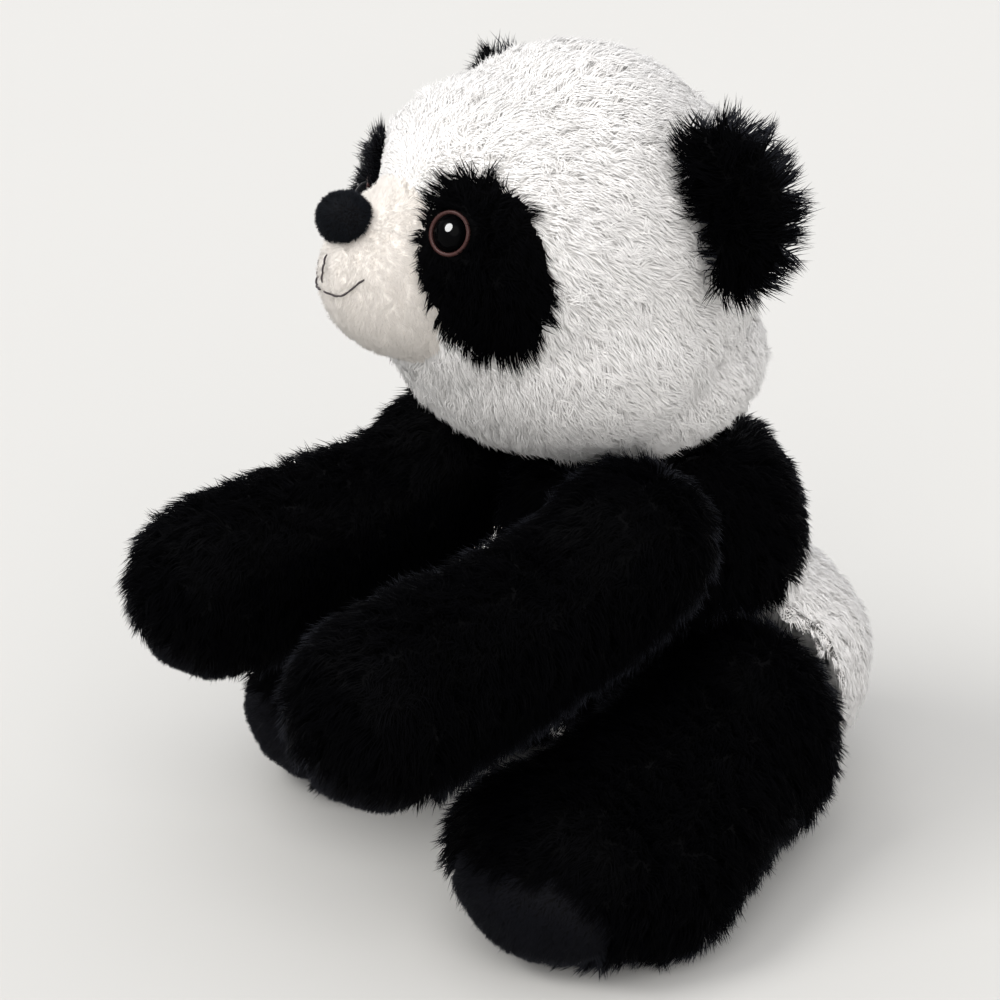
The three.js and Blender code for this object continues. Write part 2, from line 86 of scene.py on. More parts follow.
def colour(name, description, default):
    """A linear colour property."""
    return bpy.props.FloatVectorProperty(
        name=name, description=description, default=default, min=0.0, max=1.0, size=3,
        subtype="COLOR",
    )


class PANDA_PG_pile(bpy.types.PropertyGroup):
    """One kind of pile: how long, thick, close, combed and tufted it is."""

    length: length("Length", "Length of a hair along its curve", 9.0 * MM)
    width: length("Width", "Thickness of a lock at its root", 0.8 * MM)
    spacing: length("Spacing", "Distance between neighbouring locks", 1.0 * MM, 0.1 * MM)
    lean: factor("Lean", "How flat the pile is combed", 0.6)
    droop: factor("Droop", "How much the tips fall under their own weight", 0.15)
    tuft_size: length("Tuft size", "Distance between neighbouring tufts", 3.5 * MM, 0.1 * MM)
    tufting: factor("Tufting", "How far the tips of a tuft draw together", 0.5)
    unevenness: factor("Unevenness", "Difference in length from lock to lock", 0.25)


class PANDA_PG_coats(bpy.types.PropertyGroup):
    """The kinds of pile on the toy and the colours they are dyed."""

    white: bpy.props.PointerProperty(type=PANDA_PG_pile, name="White fur")
    black: bpy.props.PointerProperty(type=PANDA_PG_pile, name="Black fur")
    ear: bpy.props.PointerProperty(type=PANDA_PG_pile, name="Ear fur")
    patch: bpy.props.PointerProperty(type=PANDA_PG_pile, name="Eye patch fur")
    muzzle: bpy.props.PointerProperty(type=PANDA_PG_pile, name="Muzzle pile")
    pad: bpy.props.PointerProperty(type=PANDA_PG_pile, name="Pad pile")
    nose: bpy.props.PointerProperty(type=PANDA_PG_pile, name="Nose pile")
    white_colour: colour("White", "Colour of the white fur", (0.97, 0.955, 0.935))
    black_colour: colour("Black", "Colour of the black fur", (0.0016, 0.0016, 0.0022))
    cream_colour: colour("Cream", "Colour of the muzzle", (0.95, 0.9, 0.84))
    pad_colour: colour("Pad", "Colour of the soles and paw pads", (0.0045, 0.0048, 0.0072))
    nose_colour: colour("Nose", "Colour of the nose", (0.0055, 0.0068, 0.0095))


class PANDA_PG_body(bpy.types.PropertyGroup):
    """The sewn cloth under the pile."""

    voxel: length("Mesh size", "Size of a facet of the cloth", 2.2 * MM, 0.5 * MM)
    limb_inset: length("Body and limb inset", "Cloth below the outline of the form", 4.6 * MM)
    head_inset: length("Head inset", "Cloth below the outline of the form", 1.0 * MM)
    ear_inset: length("Ear inset", "Cloth below the outline of the form", 2.4 * MM)
    short_inset: length("Short pile inset", "Cloth below short pile", 1.0 * MM)


class PANDA_PG_face(bpy.types.PropertyGroup):
    """Eyes and embroidered mouth."""

    eye_colour: colour("Eye", "Colour of the eye dome", (0.001, 0.001, 0.0012))
    iris_colour: colour("Iris", "Colour of the ring round the eye", (0.05, 0.021, 0.019))
    thread_colour: colour("Thread", "Colour of the mouth", (0.03, 0.022, 0.024))
    thread_radius: length("Thread radius", "Radius of one strand of embroidery", 0.3 * MM)
    stitch: length("Stitch", "Length of one stitch", 3.2 * MM, 0.5 * MM)


class PANDA_PG_stage(bpy.types.PropertyGroup):
    """Floor, light and camera."""

    floor_colour: colour("Floor", "Colour of the floor", (0.585, 0.58, 0.56))
    floor_radius: length("Floor radius", "Radius of the floor", 6.0)
    azimuth: bpy.props.FloatProperty(
        name="Azimuth", description="Turn of the camera from the toy's front",
        default=math.radians(55), subtype="ANGLE",
    )
    elevation: bpy.props.FloatProperty(
        name="Elevation", description="Height of the camera above level",
        default=math.radians(27), subtype="ANGLE",
    )
    distance: length("Distance", "Camera to the middle of the seat", 0.85)
    roll: bpy.props.FloatProperty(
        name="Roll", description="Tilt of the camera about the way it looks",
        default=math.radians(-1.84), subtype="ANGLE",
    )
    lens: bpy.props.FloatProperty(
        name="Lens", description="Focal length", default=98.86, min=10.0, subtype="DISTANCE_CAMERA"
    )
    aside: length("Aside", "Middle of the view, left of the seat as the camera sees it", 0.0621)
    above: length("Above", "Middle of the view, above the seat as the camera sees it", 0.0841)


# Height, hair width and spacing in mm, lean, droop, tuft size in mm, tufting, unevenness
PILES = {
    "white": (5.8, 0.42, 0.64, 0.84, 0.06, 3.0, 0.07, 0.15),
    "black": (7.8, 0.46, 0.76, 0.6, 0.1, 3.0, 0.36, 0.3),
    "ear": (9.5, 0.46, 0.74, 0.45, 0.08, 3.0, 0.42, 0.3),
    "patch": (6.2, 0.42, 0.64, 0.58, 0.06, 2.4, 0.35, 0.3),
    "muzzle": (1.9, 0.3, 0.4, 0.66, 0.0, 1.6, 0.05, 0.15),
    "pad": (2.2, 0.36, 0.46, 0.5, 0.0, 1.5, 0.25, 0.2),
    "nose": (1.3, 0.28, 0.32, 0.5, 0.0, 0.8, 0.25, 0.2),
}


def coats():
    """The settings of the pile and its colours."""
    return bpy.context.scene.panda_coats


def body_sizes():
    """The settings of the cloth forms."""
    return bpy.context.scene.panda_body


def face_sizes():
    """The settings of the eyes and the thread."""
    return bpy.context.scene.panda_face


def stage_sizes():
    """The settings of floor and camera."""
    return bpy.context.scene.panda_stage


def set_piles():
    """Gives every kind of pile its own sizes."""
    for kind, (tall, wide, spacing, lean, droop, tuft, tufting, uneven) in PILES.items():
        pile = getattr(coats(), kind)
        pile.length, pile.width, pile.spacing = tall * MM, wide * MM, spacing * MM
        pile.lean, pile.droop = lean, droop
        pile.tuft_size, pile.tufting, pile.unevenness = tuft * MM, tufting, uneven


# ---------------------------------------------------------------------------
# Shaders
# ---------------------------------------------------------------------------


class Wire:
    """A socket of a material's nodes, with arithmetic that adds Math nodes."""

    def __init__(self, tree, socket):
        self.tree, self.socket = tree, socket

    def maths(self, operation, *values):
        node = self.tree.nodes.new("ShaderNodeMath")
        node.operation = operation
        for slot, value in zip(node.inputs, values):
            join(self.tree, slot, value)
        return Wire(self.tree, node.outputs[0])

    def __add__(self, other):
        return self.maths("ADD", self, other)

    def __radd__(self, other):
        return self.maths("ADD", other, self)

    def __sub__(self, other):
        return self.maths("SUBTRACT", self, other)

    def __rsub__(self, other):
        return self.maths("SUBTRACT", other, self)

    def __mul__(self, other):
        return self.maths("MULTIPLY", self, other)

    def __rmul__(self, other):
        return self.maths("MULTIPLY", other, self)

    def __pow__(self, other):
        return self.maths("POWER", self, other)


def join(tree, slot, value):
    """Links a wire to a slot, or sets the slot to a plain value."""
    if isinstance(value, Wire):
        tree.links.new(value.socket, slot)
    else:
        slot.default_value = value


class Finish:
    """A material with one Principled shader, built up node by node."""

    def __init__(self, name, **constants):
        self.material = bpy.data.materials.new(name)
        self.material.use_nodes = True
        self.tree = self.material.node_tree
        self.shader = self.tree.nodes["Principled BSDF"]
        self.set(**constants)

    def set(self, **values):
        """Sets or links sockets of the shader; a name's underscores stand for spaces."""
        for name, value in values.items():
            join(self.tree, self.shader.inputs[name.replace("_", " ")], value)

    def node(self, kind, settings=None, output=0, **values):
        """Adds a node: its settings first, then its sockets by name or by number."""
        node = self.tree.nodes.new(kind)
        for name, value in (settings or {}).items():
            setattr(node, name, value)
        for name, value in values.items():
            key = int(name[1:]) if name[1:].isdigit() else name.replace("_", " ")
            join(self.tree, node.inputs[key], value)
        return Wire(self.tree, node.outputs[output])

    def blend(self, amount, first, second):
        """A colour between two colours."""
        return self.node(
            "ShaderNodeMix", {"data_type": "RGBA"}, output=2, s0=amount, s6=first, s7=second
        )

    def noise(self, scale, detail=2.0, place=None):
        """Soft noise over the piece, from 0 to 1."""
        place = place or self.node("ShaderNodeTexCoord", output=3)
        return self.node(
            "ShaderNodeTexNoise", {"noise_dimensions": "3D"},
            Vector=place, Scale=scale, Detail=detail,
        )

    def bump(self, height, distance, strength=1.0):
        self.set(Normal=self.node(
            "ShaderNodeBump", Height=height, Distance=distance, Strength=strength
        ))


def rgba(tint, gain=1.0):
    """A colour with its alpha, made lighter or darker."""
    return (*(min(1.0, channel * gain) for channel in tint), 1.0)


def coat_finish(name, tint, root_shade_gain, tip_gain, spread, warm_root=None, **constants):
    """Dyed hair with painted shade: the root darker than the tip for the shade deep in the pile,
    and neighbouring locks a little different.
    """
    finish = Finish(name, **constants)
    place = finish.node("ShaderNodeUVMap", {"uv_map": "OFBake"})
    parts = finish.tree.nodes.new("ShaderNodeSeparateXYZ")
    finish.tree.links.new(place.socket, parts.inputs[0])
    shade = Wire(finish.tree, parts.outputs[0])
    along = Wire(finish.tree, parts.outputs[1])
    # painted shade: each hair is darker at its root than at its tip
    hair = finish.blend(along ** 0.7, rgba(warm_root or tint, root_shade_gain), rgba(tint, tip_gain))
    finish.set(Base_Color=finish.blend(shade * spread, hair, rgba(tint, 0.55 * root_shade_gain)))
    return finish.material


def backing_finish(name, tint):
    """Knitted backing cloth under the pile."""
    finish = Finish(name, Roughness=0.95, Specular_IOR_Level=0.15)
    knit = finish.noise(900.0, 3.0)
    finish.set(Base_Color=finish.blend(knit, rgba(tint, 0.7), rgba(tint)))
    finish.bump(knit, 0.2 * MM, 0.5)
    return finish.material


_finishes = {}


def finish_of(name):
    """The toy's materials, each made when first wanted."""
    if name not in _finishes:
        _finishes[name] = MAKERS[name]()
    return _finishes[name]


def make_white_coat():
    return coat_finish(
        "white_fur", coats().white_colour, 0.99, 1.0, 0.06, Roughness=0.9,
        Specular_IOR_Level=0.15, Sheen_Weight=0.2, Sheen_Roughness=0.5,
    )


def make_black_coat():
    return coat_finish(
        "black_fur", coats().black_colour, 0.4, 1.0, 0.5, Roughness=0.35,
        Specular_IOR_Level=0.012, Sheen_Weight=0.035, Sheen_Roughness=0.2,
        Sheen_Tint=(0.75, 0.8, 1.0, 1.0),
    )


def make_cream_pile():
    return coat_finish(
        "cream_pile", coats().cream_colour, 0.98, 1.0, 0.04, Roughness=0.9,
        Specular_IOR_Level=0.15, Sheen_Weight=0.1, Sheen_Roughness=0.5,
    )


def dark_pile(name, tint):
    """The short, dense black pile of the pads and the nose."""
    return coat_finish(
        name, tint, 0.6, 1.3, 0.4, Roughness=0.6,
        Specular_IOR_Level=0.08, Sheen_Weight=0.025, Sheen_Roughness=0.3,
        Sheen_Tint=(0.75, 0.8, 1.0, 1.0),
    )


def make_thread():
    finish = Finish("black_thread", Roughness=0.55, Specular_IOR_Level=0.35, Sheen_Weight=0.1)
    fibre = finish.noise(2600.0, 2.0)
    tint = face_sizes().thread_colour
    finish.set(Base_Color=finish.blend(fibre, rgba(tint, 0.5), rgba(tint, 1.6)))
    finish.bump(fibre, 0.08 * MM, 0.6)
    return finish.material


def make_eye_plastic():
    finish = Finish("eye_plastic", Specular_IOR_Level=0.025, IOR=1.5)
    haze = finish.noise(160.0, 3.0)
    tint = face_sizes().eye_colour
    finish.set(
        Base_Color=finish.blend(haze, rgba(tint), rgba(tint, 1.5)), Roughness=0.03 + haze * 0.03
    )
    return finish.material


def make_iris_plastic():
    finish = Finish("iris_plastic", Specular_IOR_Level=0.2, IOR=1.5)
    flecks = finish.noise(1400.0, 3.0)
    tint = face_sizes().iris_colour
    finish.set(
        Base_Color=finish.blend(flecks, rgba(tint, 0.7), rgba(tint, 1.25)),
        Roughness=0.22 + flecks * 0.1,
    )
    return finish.material


def make_washer_plastic():
    finish = Finish("washer_plastic", IOR=1.5)
    grain = finish.noise(700.0, 2.0)
    finish.set(
        Base_Color=finish.blend(grain, (0.74, 0.74, 0.71, 1.0), (0.82, 0.82, 0.8, 1.0)),
        Roughness=0.4 + grain * 0.15,
    )
    finish.bump(grain, 0.05 * MM, 0.4)
    return finish.material


def make_fibre():
    finish = Finish("fibre", Roughness=1.0, Specular_IOR_Level=0.1, Sheen_Weight=0.3)
    wisps = finish.noise(420.0, 5.0)
    finish.set(Base_Color=finish.blend(wisps, (0.78, 0.78, 0.75, 1.0), (0.93, 0.93, 0.91, 1.0)))
    finish.bump(wisps, 1.2 * MM, 0.8)
    return finish.material


MAKERS = {
    "white_fur": make_white_coat,
    "black_fur": make_black_coat,
    "cream_pile": make_cream_pile,
    "black_pile": lambda: dark_pile("black_pile", coats().pad_colour),
    "nose_plush": lambda: dark_pile("nose_pile", coats().nose_colour),
    "black_thread": make_thread,
    "eye_plastic": make_eye_plastic,
    "iris_plastic": make_iris_plastic,
    "washer_plastic": make_washer_plastic,
    "fibre": make_fibre,
    "white_backing": lambda: backing_finish("white_backing", coats().white_colour),
    "black_backing": lambda: backing_finish("black_backing", coats().black_colour),
    "cream_backing": lambda: backing_finish("cream_backing", coats().cream_colour),
}


# ---------------------------------------------------------------------------
# Cloth forms
# ---------------------------------------------------------------------------


def axes_of(turn, rise):
    """Towards the viewer, to the right and up, for angles round and above the front."""
    back = Vector((
        math.sin(turn) * math.cos(rise), -math.cos(turn) * math.cos(rise), math.sin(rise),
    ))
    right = Vector((math.cos(turn), math.sin(turn), 0.0))
    return back, right, back.cross(right)


def unit(vectors):
    """The same directions, each one long."""
    lengths = np.linalg.norm(vectors, axis=-1, keepdims=True)
    return vectors / np.maximum(lengths, 1e-12)


def shown(mesh, name, finish, body):
    """Puts a mesh in the scene as a piece that rides on a body."""
    piece = bpy.data.objects.new(name, mesh)
    mesh.name = name
    bpy.context.scene.collection.objects.link(piece)
    if finish:
        mesh.materials.append(finish_of(finish))
    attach(piece, body)
    return piece


def corners_of(node):
    """The corner points of a CAD node."""
    mesh = NODES[node].data
    points = np.empty(len(mesh.vertices) * 3)
    mesh.vertices.foreach_get("co", points)
    return points.reshape(-1, 3)


def middle_of(node):
    """The middle of a CAD node's box."""
    low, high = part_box(node)
    return np.array((low + high) / 2)


CLEARING = 8 * MM  # a bulge starts this far from an eye and is whole at twice as far
BULGE_EDGE = 0.45  # cosine of the angle at which a bulge begins


class Form:
    """One smooth closed skin wrapped round several CAD nodes."""

    def __init__(self, nodes, voxel, inset, rounds=14, shallow=(), shallow_inset=0.0,
                 plump=(), clear=()):
        whole = bmesh.new()
        for node in nodes:
            whole.from_mesh(NODES[node].data)
        rough = bpy.data.meshes.new("rough")
        whole.to_mesh(rough)
        whole.free()
        holder = bpy.data.objects.new("rough", rough)
        bpy.context.scene.collection.objects.link(holder)
        wrap = holder.modifiers.new("wrap", "REMESH")
        wrap.mode, wrap.voxel_size = "VOXEL", voxel
        ready = bpy.context.evaluated_depsgraph_get()
        self.mesh = bpy.data.meshes.new_from_object(holder.evaluated_get(ready))
        bpy.data.objects.remove(holder)
        bpy.data.meshes.remove(rough)
        self.read()
        self.relax(rounds)
        depth = np.full(len(self.points), inset)
        if shallow:
            chart = Map((nodes[0], *shallow))
            for node in shallow:
                depth[chart.belongs(self.points, node)] = shallow_inset
            for _ in range(3):
                depth = self.averaged(depth)
        if plump:
            own = np.ones(len(self.points))
            if shallow:
                own[Map(nodes).belongs(self.points, shallow[0])] = 0.0
            for spot in clear:
                away = np.linalg.norm(self.points - spot, axis=1)
                own *= np.clip((away - CLEARING) / CLEARING, 0, 1)
            for _ in range(4):
                own = np.minimum(own, self.averaged(own))
            for _ in range(6):
                own = self.averaged(own)
            outward = unit(self.points - self.points.mean(0))
            raised = np.zeros(len(self.points))
            for way, rise in plump:
                way = np.array(way) / np.linalg.norm(way)
                near = np.clip((outward @ way - BULGE_EDGE) / BULGE_EDGE, 0, 1)
                bump = rise * near * near * (3 - 2 * near)
                raised = np.where(np.abs(bump) > np.abs(raised), bump, raised)
            depth -= raised * own
        self.place(self.points - self.normals * depth[:, None])
        self.relax(3)

    def read(self):
        """Reads corner points, normals and triangles back from the mesh."""
        mesh = self.mesh
        self.points = np.empty(len(mesh.vertices) * 3)
        mesh.vertices.foreach_get("co", self.points)
        self.points = self.points.reshape(-1, 3)
        self.normals = np.empty(len(mesh.vertices) * 3, np.float32)
        mesh.vertex_normals.foreach_get("vector", self.normals)
        self.normals = self.normals.reshape(-1, 3).astype(float)
        mesh.calc_loop_triangles()
        self.triangles = np.empty(len(mesh.loop_triangles) * 3, np.int32)
        mesh.loop_triangles.foreach_get("vertices", self.triangles)
        self.triangles = self.triangles.reshape(-1, 3)

    def place(self, points):
        """Moves the corner points."""
        points[:, 2] = np.maximum(points[:, 2], FLOOR_CLEARANCE)
        self.mesh.vertices.foreach_set("co", points.ravel())
        self.mesh.update()
        self.read()

    def averaged(self, values):
        """The mean of each corner's neighbours."""
        edges = np.empty(len(self.mesh.edges) * 2, np.int32)
        self.mesh.edges.foreach_get("vertices", edges)
        ends = edges.reshape(-1, 2).T
        first, second = np.concatenate(ends), np.concatenate(ends[::-1])
        count = len(self.points)
        neighbours = np.maximum(np.bincount(first, minlength=count), 1)
        if values.ndim == 1:
            return np.bincount(first, values[second], count) / neighbours
        columns = [np.bincount(first, column[second], count) for column in values.T]
        return np.stack(columns, 1) / neighbours[:, None]

    def relax(self, rounds):
        """Takes out facets and stair steps without shrinking the form."""
        points = self.points.copy()
        for step in range(2 * rounds):
            pull = 0.52 if step % 2 == 0 else -0.5
            points += pull * (self.averaged(points) - points)
        self.place(points)

    def polygons(self):
        return self.points.tolist(), self.triangles.tolist()


FORMS = {
    "torso": ("yoke_cover", "belly_cover", "torso_stuffing"),
    "head": (
        "head_cover", "muzzle_cover", "head_stuffing", "eye_patch_left", "eye_patch_right",
    ),
    "arm_left": ("arm_cover_left", "arm_stuffing_left", "paw_pad_left"),
    "arm_right": ("arm_cover_right", "arm_stuffing_right", "paw_pad_right"),
    "leg_left": ("leg_cover_left", "leg_stuffing_left", "sole_pad_left"),
    "leg_right": ("leg_cover_right", "leg_stuffing_right", "sole_pad_right"),
    "ear_left": ("ear_left",),
    "ear_right": ("ear_right",),
    "nose": ("nose",),
}
SHORT_PILE = ("muzzle_cover", "paw_pad", "sole_pad")
# Where the filling pushes a form out or leaves it low: which way, and how far
PLUMP = {
    "head": (((0, -0.45, 0.9), 3.0 * MM), ((0.5, -0.6, -0.65), 3.0 * MM),
             ((-0.5, -0.6, -0.65), 3.0 * MM), ((0.6, -0.68, 0.42), 3.5 * MM),
             ((-0.6, -0.68, 0.42), 3.5 * MM)),
    "torso": (((0, -1, 0.55), 3.0 * MM), ((0, 1, 0.75), -2.5 * MM)),
}
_forms = {}


def form(name):
    """A cloth form, made when first wanted."""
    if name not in _forms:
        sizes = body_sizes()
        small = name == "nose"
        inset = {"nose": sizes.short_inset, "head": sizes.head_inset}.get(
            name, sizes.ear_inset if name.startswith("ear") else sizes.limb_inset)
        shallow = [node for node in FORMS[name] if node.startswith(SHORT_PILE)]
        _forms[name] = Form(
            FORMS[name], sizes.voxel * (0.4 if small else 1.0), inset, 6 if small else 14,
            shallow, sizes.short_inset, PLUMP.get(name, ()),
            [middle_of(f"iris_ring_{side}") for side in SIDES],
        )
    return _forms[name]


class Map:
    """Tells which of several CAD nodes is nearest to each of many points."""

    def __init__(self, nodes):
        points, faces, self.owners = [], [], []
        for number, node in enumerate(nodes):
            mesh = NODES[node].data
            start = len(points)
            points.extend(corners_of(node).tolist())
            for face in mesh.polygons:
                faces.append([start + corner for corner in face.vertices])
                self.owners.append(number)
        self.nodes = list(nodes)
        self.tree = BVHTree.FromPolygons(points, faces)

    def belongs(self, points, node):
        """True where the node is the nearest one."""
        wanted = self.nodes.index(node)
        find = self.tree.find_nearest
        return np.array([self.owners[find(point)[2]] == wanted for point in points.tolist()])


def tree_of(parts):
    """One search tree over several (points, faces) pairs."""
    points, faces = [], []
    for some_points, some_faces in parts:
        start = len(points)
        points.extend(some_points)
        faces.extend([[start + corner for corner in face] for face in some_faces])
    return BVHTree.FromPolygons(points, faces)


# ---------------------------------------------------------------------------
# Pile
# ---------------------------------------------------------------------------


def ripple(points, wavelength, seed):
    """Smooth noise over space, about -1 to 1."""
    rng = np.random.default_rng(seed)
    total = np.zeros(len(points))
    for _ in range(5):
        direction = unit(rng.normal(size=3))
        phase = rng.uniform(0, 2 * math.pi)
        stretch = rng.uniform(0.7, 1.5)
        total += np.sin(points @ direction * (2 * math.pi * stretch / wavelength) + phase)
    return total / 2.5


def swirl(points, wavelength, seed):
    """A smooth field of directions over space."""
    return np.stack([ripple(points, wavelength, seed + axis) for axis in range(3)], 1)


def spread(skin, spacing, rng):
    """Roots spread evenly over a form, and the way the cloth faces at each."""
    corners = skin.points[skin.triangles]
    cross = np.cross(corners[:, 1] - corners[:, 0], corners[:, 2] - corners[:, 0])
    area = np.linalg.norm(cross, axis=1)
    count = int(area.sum() / 2 / spacing**2 * 4)
    chosen = rng.choice(len(area), count, p=area / area.sum())
    first, second = np.sqrt(rng.random(count)), rng.random(count)
    weights = np.stack([1 - first, first * (1 - second), first * second], 1)[..., None]
    roots = (corners[chosen] * weights).sum(1)
    facing = unit((skin.normals[skin.triangles[chosen]] * weights).sum(1))
    cells = np.floor(roots / spacing).astype(np.int64)
    keys = (cells[:, 0] * 8191 + cells[:, 1]) * 8191 + cells[:, 2]
    _, kept = np.unique(keys, return_index=True)
    return roots[kept], facing[kept]


def nearest(points, centres):
    """For each point, the number of the nearest centre."""
    tree = KDTree(len(centres))
    for number, centre in enumerate(centres.tolist()):
        tree.insert(centre, number)
    tree.balance()
    return np.array([tree.find(point)[1] for point in points.tolist()])


def across(vectors, facing):
    """The part of each vector that lies along the cloth."""
    return vectors - facing * (vectors * facing).sum(1, keepdims=True)


def room_for(roots, facing, ways, lengths, tree):
    """How long each hair can be before it meets another piece; 0 for one that starts inside."""
    lengths = lengths.copy()
    starts = (roots + facing * 0.2 * MM).tolist()
    reach = 60 * MM
    for number, (start, way) in enumerate(zip(starts, ways.tolist())):
        _, normal, _, distance = tree.ray_cast(start, way, reach)
        if normal is None:
            continue
        if normal.dot(Vector(way)) > 0:
            lengths[number] = 0.0
        elif distance < lengths[number]:
            lengths[number] = distance
    return lengths


def hair_mesh(name, roots, facing, middles, tips, width, shades, rng):
    """Long locks: three-sided, tapered and bent once, each a closed spike."""
    count = len(roots)
    stem = unit(middles - roots)
    end = unit(tips - middles)
    side = unit(np.cross(stem, facing) + rng.normal(size=(count, 3)) * 0.05)
    turn = rng.uniform(0, 2 * math.pi, count)
    rings, outward = [], []
    for base, way, share in ((roots, stem, 1.0), (middles, unit(stem + end), 0.72)):
        first = unit(across(side, way))
        second = np.cross(way, first)
        for corner in range(3):
            angle = (turn + corner * 2 * math.pi / 3)[:, None]
            radial = np.cos(angle) * first + np.sin(angle) * second
            rings.append(base + radial * (width * share / 2)[:, None])
            outward.append(radial)
    points = np.stack([*rings, tips], 1)
    radial = np.stack([*outward, end], 1)
    normals = unit(facing[:, None, :] * 0.75 + radial * 0.25 + end[:, None, :] * 0.1)
    points[..., 2] = np.maximum(points[..., 2], FLOOR_CLEARANCE)
    faces = [(0, 1, 4, 3), (1, 2, 5, 4), (2, 0, 3, 5), (3, 4, 6), (4, 5, 6), (5, 3, 6), (2, 1, 0)]
    level = (0.04, 0.04, 0.04, 0.52, 0.52, 0.52, 0.98)
    return mesh_of(name, points, normals, faces, level, shades)


def nap_mesh(name, roots, facing, tips, width, shades, rng):
    """Short pile: three-sided spikes."""
    count = len(roots)
    stem = unit(tips - roots)
    first = unit(across(rng.normal(size=(count, 3)), stem))
    second = np.cross(stem, first)
    ring, outward = [], []
    for corner in range(3):
        angle = corner * 2 * math.pi / 3
        radial = math.cos(angle) * first + math.sin(angle) * second
        ring.append(roots + radial * (width / 2)[:, None])
        outward.append(radial)
    points = np.stack([*ring, tips], 1)
    normals = unit(facing[:, None, :] * 0.7 + np.stack([*outward, stem], 1) * 0.3)
    points[..., 2] = np.maximum(points[..., 2], FLOOR_CLEARANCE)
    faces = [(0, 1, 3), (1, 2, 3), (2, 0, 3), (2, 1, 0)]
    return mesh_of(name, points, normals, faces, (0.04, 0.04, 0.04, 0.98), shades)


HAIR_COLUMNS = (0.1, 0.5, 0.9, 0.1, 0.5, 0.9, 0.5)  # each corner's place across its shade
NAP_COLUMNS = (0.1, 0.5, 0.9, 0.5)


def mesh_of(name, points, normals, faces, level, shades):
    """Many copies of one small closed shape as a single mesh, with its map."""
    count, corners = points.shape[:2]
    order = np.concatenate(faces)
    loops = (np.arange(count)[:, None] * corners + order).ravel()
    sizes = np.array([len(face) for face in faces])
    starts = np.concatenate([[0], np.cumsum(sizes)[:-1]])
    mesh = bpy.data.meshes.new(name)
    mesh.vertices.add(count * corners)
    mesh.vertices.foreach_set("co", points.ravel())
    mesh.loops.add(len(loops))
    mesh.loops.foreach_set("vertex_index", loops)
    mesh.polygons.add(count * len(faces))
    begins = (np.arange(count)[:, None] * len(order) + starts).ravel()
    mesh.polygons.foreach_set("loop_start", begins)
    column = 1.0 / SHADE_COLUMNS
    inside = np.array(NAP_COLUMNS if corners == len(NAP_COLUMNS) else HAIR_COLUMNS[:corners])
    rise = np.array(level)
    across_map = (shades[:, None] + inside[order]) * column
    up_map = np.broadcast_to(rise[order], (count, len(order)))
    mesh.uv_layers.new(name="OFBake")
    flat = np.stack([across_map, up_map], 2).astype(np.float32).ravel()
    mesh.uv_layers["OFBake"].uv.foreach_set("vector", flat)
    mesh.update(calc_edges=True)
    mesh.normals_split_custom_set_from_vertices(normals.reshape(-1, 3).tolist())
    return mesh


def shades_of(roots, seed, rng):
    """Which column of the map each lock takes its shade from."""
    patchy = 0.5 + 0.3 * ripple(roots, 22 * MM, seed) + rng.normal(size=len(roots)) * 0.22
    return np.clip(patchy * SHADE_COLUMNS, 0, SHADE_COLUMNS - 1).astype(int)


TUFT_TURN = 0.28  # how far whole tufts stray sideways
TUFT_RISE = 0.13  # how much the tufts differ in how steeply they stand
STRAY = 0.1  # how far single hairs stray sideways
SHORTEST = 0.16  # hairs cut shorter than this share of the pile are left out
ROOT_DEPTH = 0.25 * MM  # how deep the roots sit in the cloth
NAP_TRIANGLES, HAIR_TRIANGLES = 4, 10
PIECE_WAY = np.array((0.25, 1.0, 0.35))  # a coat is cut into pieces across this line


